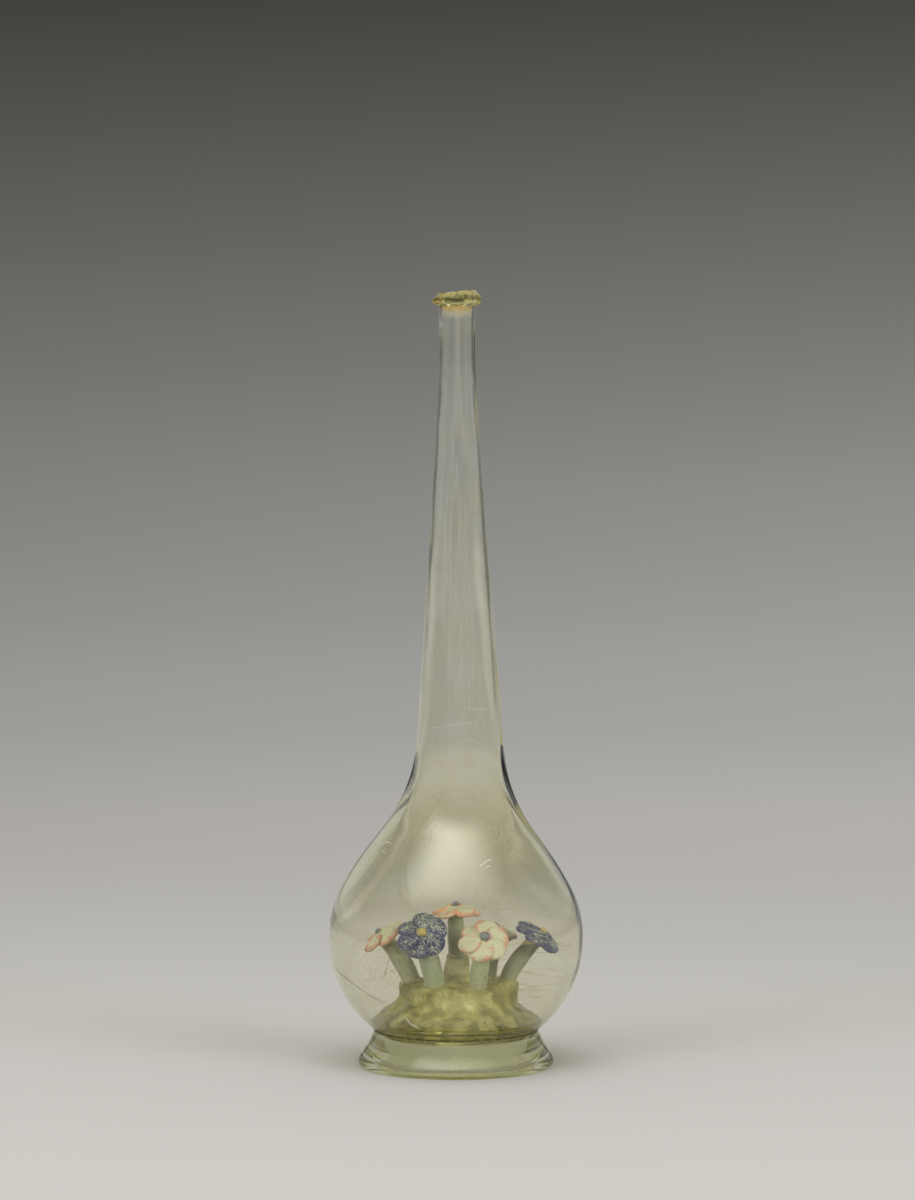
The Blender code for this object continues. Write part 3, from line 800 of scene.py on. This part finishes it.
def petal_material(name, body, edge, speck, speck_share, clump):
    """Pressed glass: a mottled body, a broken coloured edge from the mesh, and frit specks in clumps."""
    material, graph, shader = node_material(name, 0.30)
    place = graph.position()
    rim = graph.new("ShaderNodeAttribute")
    rim.attribute_name = "rim"
    cloud = graph.noise(place, 300.0, 4.0, 0.6)
    mottled = graph.mix(cloud, tuple(c * 0.84 for c in body), tuple(min(1.0, c * 1.10) for c in body))
    wander = graph.math("SUBTRACT", graph.noise(place, 260.0, 3.0), 0.5)
    inward = graph.math("POWER", rim.outputs["Fac"], 0.6)
    reach = graph.build_up(inward, wander, 2.8)
    band = graph.times(graph.span(reach, 0.48, 0.95), 0.92)
    coloured = graph.mix(band, mottled, edge)
    grains = graph.new("ShaderNodeSeparateColor")
    graph.link(graph.cells(place, 3000.0).outputs["Color"], grains.inputs[0])
    gathered = graph.times(graph.math("SUBTRACT", graph.noise(place, 330.0, 3.0), 0.5), clump)
    broad = graph.math("SUBTRACT", graph.noise(place, 120.0, 1.0), 0.5)
    gathered = graph.build_up(gathered, broad, 1.1 * clump)
    crowd = graph.plus(grains.outputs[0], gathered)
    crowd = graph.build_up(crowd, rim.outputs["Fac"], 0.12 * clump)
    frit = graph.span(crowd, 1 - speck_share, 1.08 - speck_share)
    graph.paint(shader, graph.mix(frit, coloured, speck))
    graph.bump(shader, graph.noise(place, 900.0, 3.0), 0.35, 0.0003)
    return material


def stem_material():
    material, graph, shader = node_material("celadon_glass", 0.35)
    place = graph.position()
    height = graph.axes(place)[2]
    cloud = graph.noise(place, 180.0, 5.0, 0.6)
    colour = graph.ramp(cloud, [
        (0.30, (0.33, 0.39, 0.24)),
        (0.50, (0.41, 0.47, 0.30)),
        (0.72, (0.51, 0.55, 0.38)),
    ])
    foot = graph.span(height, 0.0335, 0.0285)
    graph.paint(shader, graph.mix(graph.times(foot, 0.5), colour, (0.45, 0.45, 0.25)))
    graph.bump(shader, cloud, 0.25, 0.0003)
    return material


def dust_material():
    """Even pale dust under the foot."""
    material, graph, shader = node_material("pale_dust", 0.7)
    place = graph.position()
    cloud = graph.noise(place, 120.0, 5.0, 0.6)
    colour = graph.ramp(cloud, [(0.3, (0.62, 0.66, 0.44)), (0.7, (0.72, 0.74, 0.54))])
    graph.paint(shader, colour, graph.build_up(0.24, cloud, 0.16))
    graph.bump(shader, cloud, 0.2, 0.0003)
    return material


def mark_material(name, colour, strength):
    """Hairline cracks and scratches, dark or light: the dark ones are painted shade, the light ones painted
    glints.
    """
    material, graph, shader = node_material(name, 0.4)
    place = graph.position()
    cloud = graph.noise(place, 700.0, 3.0)
    varied = graph.mix(cloud, tuple(c * 0.8 for c in colour), colour)
    graph.paint(shader, varied, graph.times(graph.span(cloud, 0.25, 0.6), strength))
    return material


# Flowers

def petal_rings(length, width, thickness):
    """A puffy pad: rings from its underside's middle to its top's middle, with a rim value."""
    rows, cols = 17, 28
    rings, rims = [], []
    for i in range(1, rows):
        polar = math.pi * i / rows
        level = math.sin(polar)
        up = -math.cos(polar)
        ring = []
        for a in circle(cols):
            x = math.cos(a)
            y = math.sin(a)
            broad = 1.0 - 0.28 * (0.5 - 0.5 * x) ** 1.2
            px = length * level ** 0.8 * x
            py = width * level ** 0.8 * y * broad
            dish = 1.0 - 0.45 * math.exp(-((level / 0.55) ** 2)) if up > 0 else 1.0
            pz = thickness * math.copysign(abs(up) ** 0.75, up) * dish
            ring.append(Vector((px, py, pz)))
        rings.append(ring)
        rims.append(level ** 3 if up > -0.35 else 0.2 * level)
    return rings, rims


def head_frame(flower):
    facing = Vector(flower.facing).normalized()
    middle = root_point(flower) + Vector(flower.head)
    return Matrix.Translation(middle) @ facing.to_track_quat("Z", "Y").to_matrix().to_4x4()


def build_petals(flower, material, count, start_turn, rng):
    spot = head_frame(flower)
    radius = flower.radius
    verts, faces, rim_values = [], [], []

    def add_pad(rings, rims, place):
        base = len(verts)
        cols = len(rings[0])
        for ring, rim in zip(rings, rims):
            for p in ring:
                q = place @ p
                sag = 0.0024 * (math.hypot(q.x, q.y) / radius) ** 2
                q.z -= sag
                q += noise.noise_vector(q * 500 + Vector((len(flower.name), 0, 0))) * 0.00018
                verts.append(spot @ q)
                rim_values.append(rim)
        for i in range(len(rings) - 1):
            a = base + i * cols
            b = a + cols
            for j in range(cols):
                k = (j + 1) % cols
                faces.append((a + j, a + k, b + k, b + j))
        for end in (0, len(rings) - 1):
            pole = len(verts)
            low = base + end * cols
            verts.append(sum(verts[low:low + cols], Vector()) / cols)
            rim_values.append(0.0)
            for j in range(cols):
                k = (j + 1) % cols
                faces.append((low + k, low + j, pole) if end == 0 else (low + j, low + k, pole))

    for k in range(count):
        turn = start_turn + 2 * math.pi * k / count + rng.uniform(-0.12, 0.12)
        size = rng.uniform(0.92, 1.08)
        length = radius * 0.45 * size
        width = radius * 0.50 * rng.uniform(0.94, 1.14)
        rings, rims = petal_rings(length, width, 0.00125 * rng.uniform(0.9, 1.15))
        place = Matrix.Rotation(turn, 4, "Z") @ Matrix.Translation((radius - length, 0, 0.00045 * (k % 2)))
        place = place @ Matrix.Rotation(rng.uniform(0.08, 0.26), 4, "X")
        place = place @ Matrix.Rotation(rng.uniform(-0.10, 0.18), 4, "Y")
        add_pad(rings, rims, place)
    hub_rings, hub_rims = petal_rings(radius * 0.42, radius * 0.42, 0.0014)
    add_pad(hub_rings, [0.0] * len(hub_rims), Matrix.Translation((0, 0, -0.0002)))

    mesh = bpy.data.meshes.new(flower.name + "_head")
    mesh.from_pydata(verts, [], faces)
    attribute = mesh.attributes.new("rim", "FLOAT", "POINT")
    attribute.data.foreach_set("value", rim_values)
    mesh.shade_smooth()
    obj = new_object(flower.name + "_head", mesh, material)
    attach(obj, "root")
    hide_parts(flower.name + "_petals")
    return obj


def build_eye(flower, material):
    spot = head_frame(flower)
    form = bmesh.new()
    bmesh.ops.create_icosphere(form, subdivisions=4, radius=flower.bead * 0.92)
    for vertex in form.verts:
        vertex.co.z *= 0.8
        vertex.co += noise.noise_vector(vertex.co * 700 + Vector(flower.root) * 900) * 0.00025
        vertex.co.z += 0.0015
    bmesh.ops.transform(form, matrix=spot, verts=form.verts)
    mesh = finished(form, flower.name + "_bead")
    mesh.shade_smooth()
    obj = new_object(flower.name + "_bead", mesh, material)
    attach(obj, "root")
    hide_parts(flower.name + "_eye")


def build_stem(flower, material):
    way = stem_start(flower)
    facing = Vector(flower.facing).normalized()
    root = root_point(flower)
    end = root + Vector(flower.head) - facing * 0.0012
    handle = (end - root).length * 0.36
    below = 0.0016
    knots = [root - way * below, root - way * below * 0.5]
    p0, p1, p2, p3 = root, root + way * handle, end - facing * handle, end
    for i in range(19):
        t = i / 18
        s = 1 - t
        knots.append(p0 * s**3 + p1 * 3 * s * s * t + p2 * 3 * s * t * t + p3 * t**3)
    rings = []
    side = Vector((1, 0, 0))
    for i, spot in enumerate(knots):
        ahead = knots[min(i + 1, len(knots) - 1)] - knots[max(i - 1, 0)]
        ahead.normalize()
        side = (side - ahead * side.dot(ahead)).normalized()
        across = ahead.cross(side)
        share = i / (len(knots) - 1)
        radius = flower.rod * (1.10 - 0.08 * share + 0.04 * math.sin(9 * share + len(flower.name)))
        if i == 0:
            radius *= 0.72
        ring = []
        for a in circle(36):
            p = spot + (side * math.cos(a) + across * math.sin(a)) * radius
            p += noise.noise_vector(p * 330) * 0.00016
            ring.append(tuple(p))
        rings.append(ring)
    mesh = ring_mesh(flower.name + "_rod", rings, (True, True))
    mesh.shade_smooth()
    obj = new_object(flower.name + "_rod", mesh, material)
    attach(obj, "root")
    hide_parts(flower.name + "_stem")


def build_flowers():
    white = petal_material("white_petal_glass", (0.90, 0.91, 0.68), (0.92, 0.42, 0.32),
                           (0.50, 0.52, 0.36), 0.02, 0.5)
    blue = petal_material("cobalt_petal_glass", (0.52, 0.58, 0.50), (0.05, 0.08, 0.27),
                          (0.006, 0.012, 0.12), 0.60, 0.90)
    yellow = petal_material("yellow_bead_glass", (0.72, 0.56, 0.16), (0.62, 0.42, 0.08),
                            (0.34, 0.32, 0.20), 0.22, 0.5)
    dark = petal_material("dark_bead_glass", (0.13, 0.17, 0.26), (0.08, 0.11, 0.18),
                          (0.42, 0.46, 0.42), 0.30, 0.5)
    celadon = stem_material()
    rng = random.Random(11)
    for flower in FLOWERS:
        is_blue = "blue" in flower.name
        build_petals(flower, blue if is_blue else white, PETALS, PETAL_TURNS[flower.name], rng)
        build_eye(flower, yellow if is_blue else dark)
        build_stem(flower, celadon)


# Marks on the bulb's wall, as hairs of glass just inside the outer face: dark hairs are painted shade, light
# hairs painted glints

def on_wall(x, z, depth):
    reach = outer_radius(z) - depth
    across = x - bow(z)
    return Vector((x, -math.sqrt(max(1e-9, reach * reach - across * across)), z))


def hair_mesh(name, line, thickness, depth):
    points = []
    for (x0, z0), (x1, z1) in zip(line, line[1:]):
        steps = max(2, int(math.hypot(x1 - x0, z1 - z0) / 0.0006))
        points += [(x0 + (x1 - x0) * i / steps, z0 + (z1 - z0) * i / steps) for i in range(steps)]
    points.append(line[-1])
    spots = [on_wall(x, z, depth) for x, z in points]
    rings = []
    for i, spot in enumerate(spots):
        ahead = (spots[min(i + 1, len(spots) - 1)] - spots[max(i - 1, 0)]).normalized()
        side = ahead.cross(Vector((spot.x, spot.y, 0)).normalized()).normalized()
        across = ahead.cross(side)
        taper = min(1.0, 0.35 + 3.0 * min(i, len(spots) - 1 - i) / len(spots))
        wide = thickness * taper * (1 + 0.5 * noise.noise(spot * 900))
        shift = noise.noise(spot * 500) * 0.00012
        rings.append([tuple(spot + side * (wide * math.cos(a) + shift) + across * (0.4 * wide * math.sin(a)))
                      for a in circle(8)])
    return ring_mesh(name, rings, (True, True))


def build_marks():
    # Dark hairs are painted shade along the cracks; light hairs are painted glints on cracks, chips and
    # scratches.
    dark = mark_material("crack_shadow", (0.12, 0.10, 0.05), 0.9)
    light = mark_material("crack_glint", (1.0, 0.99, 0.90), 1.0)
    for name, material, thickness, line in MARKS:
        mesh = hair_mesh(name, line, thickness, HAIR_DEPTH)
        mesh.shade_smooth()
        hair = new_object(name, mesh, dark if material == "dark" else light)
        hair.visible_shadow = False
        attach(hair, "root")


# Stage

# The sweep's measures, and the run along it over which the backdrop is graded
SWEEP_RADIUS = 3.0
SWEEP_CURVE = 0.2
SWEEP_TOP = 2.0
SOFTBOX_HEIGHT = 1.25
BACKDROP_RUN = 6.0

# The backdrop as the camera sees it, by distance along the sweep
BACKDROP = (
    (0.04, (0.575, 0.565, 0.540)),
    (0.25, (0.533, 0.521, 0.497)),
    (0.70, (0.462, 0.445, 0.423)),
    (1.48, (0.371, 0.366, 0.352)),
    (3.10, (0.305, 0.305, 0.287)),
    (3.46, (0.250, 0.254, 0.235)),
    (3.73, (0.195, 0.195, 0.178)),
    (4.00, (0.144, 0.141, 0.130)),
    (4.27, (0.100, 0.100, 0.089)),
    (4.54, (0.063, 0.061, 0.0545)),
    (5.20, (0.040, 0.040, 0.037)),
)

# What the glass passes and mirrors instead, by share of the height: all round, and at the sides
AROUND = ((0.00, 0.24), (0.18, 0.24), (0.20, 0.44), (0.40, 0.50), (1.00, 0.50))
WINGS = (
    (0.00, 0.40), (0.03, 0.34), (0.05, 0.14), (0.165, 0.14),
    (0.20, 0.52), (0.50, 0.52), (0.70, 0.36), (1.00, 0.32),
)


def stage_material():
    """Lit paper close to the bottle that passes into a graded backdrop further out."""
    material, graph, shader = node_material("pale_paper", 0.9)
    shader.inputs["Base Color"].default_value = (0.575, 0.566, 0.545, 1.0)
    shader.inputs["Specular IOR Level"].default_value = 0.1
    place = graph.position()
    x, _, z = graph.axes(place)
    length = graph.new("ShaderNodeVectorMath")
    length.operation = "LENGTH"
    graph.link(graph.stretch(place, (1.0, 1.0, 0.0)), length.inputs[0])
    radius = length.outputs["Value"]
    run = graph.build_up(radius, z, 2.0)
    share = graph.math("DIVIDE", run, BACKDROP_RUN)
    graded = graph.ramp(share, [(distance / BACKDROP_RUN, colour) for distance, colour in BACKDROP])
    sideways = graph.new("ShaderNodeMapRange")
    graph.link(x, sideways.inputs[0])
    for index, number in ((1, -0.6), (2, 0.6), (3, 0.86), (4, 1.08)):
        sideways.inputs[index].default_value = number
    graded = graph.mix(1.0, graded, sideways.outputs[0], "MULTIPLY")
    height = graph.math("DIVIDE", z, SWEEP_TOP)
    across = graph.math("ABSOLUTE", x)
    around = graph.ramp(height, AROUND)
    low = graph.times(graph.span(across, 0.05, 0.45), graph.span(z, 0.14, 0.00))
    around = graph.mix(low, around, (0.47, 0.46, 0.44))
    wings = graph.mix(graph.span(radius, 2.4, 1.7), graph.ramp(height, WINGS), (0.66, 0.65, 0.62))
    both = graph.mix(1.0, graded, around, "LIGHTEN")
    both = graph.mix(graph.span(across, 0.55, 1.30), both, wings)
    path = graph.new("ShaderNodeLightPath")
    glow = graph.new("ShaderNodeEmission")
    graph.link(graph.mix(path.outputs["Is Camera Ray"], both, graded), glow.inputs["Color"])
    further = graph.ramp(radius, [(0.22, 0.0), (0.90, 1.0)], "EASE")
    graph.surface(graph.blend(further, shader, glow))
    return material


def softbox_material():
    """A broad overhead light that is brightest left of its middle and fades to its edge."""
    material, graph, _ = node_material("softbox_cloth", 0.5)
    x, y, _ = graph.axes(graph.position())
    aside = graph.times(graph.plus(x, 0.20), 1.80)
    ahead = graph.times(graph.plus(y, 0.46), 3.9)
    square = graph.plus(graph.times(aside, aside), graph.times(ahead, ahead))
    bright = graph.math("EXPONENT", graph.times(square, -0.5))
    level = graph.math("MAXIMUM", graph.times(bright, 4.7), 0.24)
    side = graph.span(graph.math("ABSOLUTE", x), 1.03, 0.99)
    end = graph.span(graph.math("ABSOLUTE", graph.plus(y, 0.45)), 0.83, 0.79)
    glow = graph.new("ShaderNodeEmission")
    glow.inputs["Color"].default_value = (1.0, 0.985, 0.94, 1.0)
    graph.link(graph.times(level, graph.times(side, end)), glow.inputs["Strength"])
    graph.surface(glow)
    return material


def build_world():
    world = bpy.data.worlds.new("studio")
    world.use_nodes = True
    graph = Graph(world.node_tree)
    background = graph.nodes["Background"]
    background.inputs["Color"].default_value = (1.0, 0.99, 0.95, 1.0)
    path = graph.new("ShaderNodeLightPath")
    seen = graph.math("MAXIMUM", path.outputs["Is Glossy Ray"], path.outputs["Is Transmission Ray"])
    graph.link(graph.build_up(0.28, seen, 0.04), background.inputs["Strength"])
    bpy.context.scene.world = world


def build_lamp(name, location, target, size, size_y, power):
    data = bpy.data.lights.new(name, "AREA")
    data.shape = "RECTANGLE"
    data.size = size
    data.size_y = size_y
    data.energy = power
    data.color = (1.0, 0.985, 0.955)
    lamp = new_object(name, data)
    lamp.location = location
    lamp.rotation_euler = (Vector(target) - Vector(location)).to_track_quat("-Z", "Y").to_euler()
    lamp.visible_camera = False
    lamp.visible_transmission = False
    lamp.visible_glossy = False


def build_stage():
    profile = [(r, 0.0) for r in (0.05, 0.15, 0.3, 0.5, 0.8, 1.2, 1.7, 2.3, 2.8, SWEEP_RADIUS)]
    profile += [(SWEEP_RADIUS + SWEEP_CURVE * math.sin(a), SWEEP_CURVE - SWEEP_CURVE * math.cos(a))
                for a in degrees(15, 91, 15)]
    profile += [(SWEEP_RADIUS + SWEEP_CURVE, z) for z in (0.4, 0.6, 0.8, 1.1, 1.5, SWEEP_TOP)]
    mesh = ring_mesh("sweep", turned(profile, 128), (True, False))
    mesh.shade_smooth()
    sweep = new_object("sweep", mesh, stage_material())
    sweep.visible_shadow = False

    panel = bpy.data.meshes.new("softbox")
    corners = ((-1.05, -1.30), (1.05, -1.30), (1.05, 0.40), (-1.05, 0.40))
    panel.from_pydata([(x, y, SOFTBOX_HEIGHT) for x, y in corners], [], [(0, 1, 2, 3)])
    softbox = new_object("softbox", panel, softbox_material())
    softbox.visible_camera = False
    softbox.visible_diffuse = False
    softbox.visible_shadow = False

    build_lamp("overhead", (-0.10, -0.35, 1.35), (0, 0, 0.08), 0.9, 0.9, 8.0)
    build_lamp("left", (-1.5, -1.3, 0.7), (0, 0, 0.10), 1.0, 1.2, 22.0)
    build_lamp("right", (1.6, -1.2, 0.7), (0, 0, 0.10), 1.0, 1.2, 27.0)


# Where the camera stands and what it looks at
CAMERA_SPOT = (0.0005, -1.5, 0.245)
CAMERA_TARGET = (0.0005, 0.0, 0.1686)


def build_camera():
    data = bpy.data.cameras.new("camera")
    data.lens = 125
    data.sensor_width = 36
    data.clip_start = 0.05
    camera = new_object("camera", data)
    camera.location = CAMERA_SPOT
    aim = Vector(CAMERA_TARGET) - camera.location
    camera.rotation_euler = aim.to_track_quat("-Z", "Y").to_euler()
    bpy.context.scene.camera = camera


def main():
    scene = bpy.context.scene
    scene.view_settings.view_transform = "Standard"
    scene.cycles.max_bounces = 24
    scene.cycles.transmission_bounces = 24
    scene.cycles.glossy_bounces = 12
    scene.cycles.caustics_reflective = False
    scene.cycles.caustics_refractive = False
    scene.cycles.transparent_max_bounces = 40
    gather = mound_mesh()
    build_film("gather_coat", coat_mesh(gather), coat_material())
    build_vessel(glass_material("clear_green_glass", 60.0), gather)
    build_foot(glass_material("foot_glass", 28.0))
    build_film("residue_film", film_mesh(), residue_material())
    build_film("foot_dust", recess_film_mesh(), dust_material())
    build_film("seam_dust", seam_mesh(), coat_material())
    # Dark ring along the joint of foot and bulb: dirt with painted shade.
    build_film("joint_dirt", joint_mesh(), mark_material("joint_shadow", (0.06, 0.055, 0.015), 0.95))
    build_flowers()
    build_marks()
    build_world()
    build_stage()
    build_camera()


main()
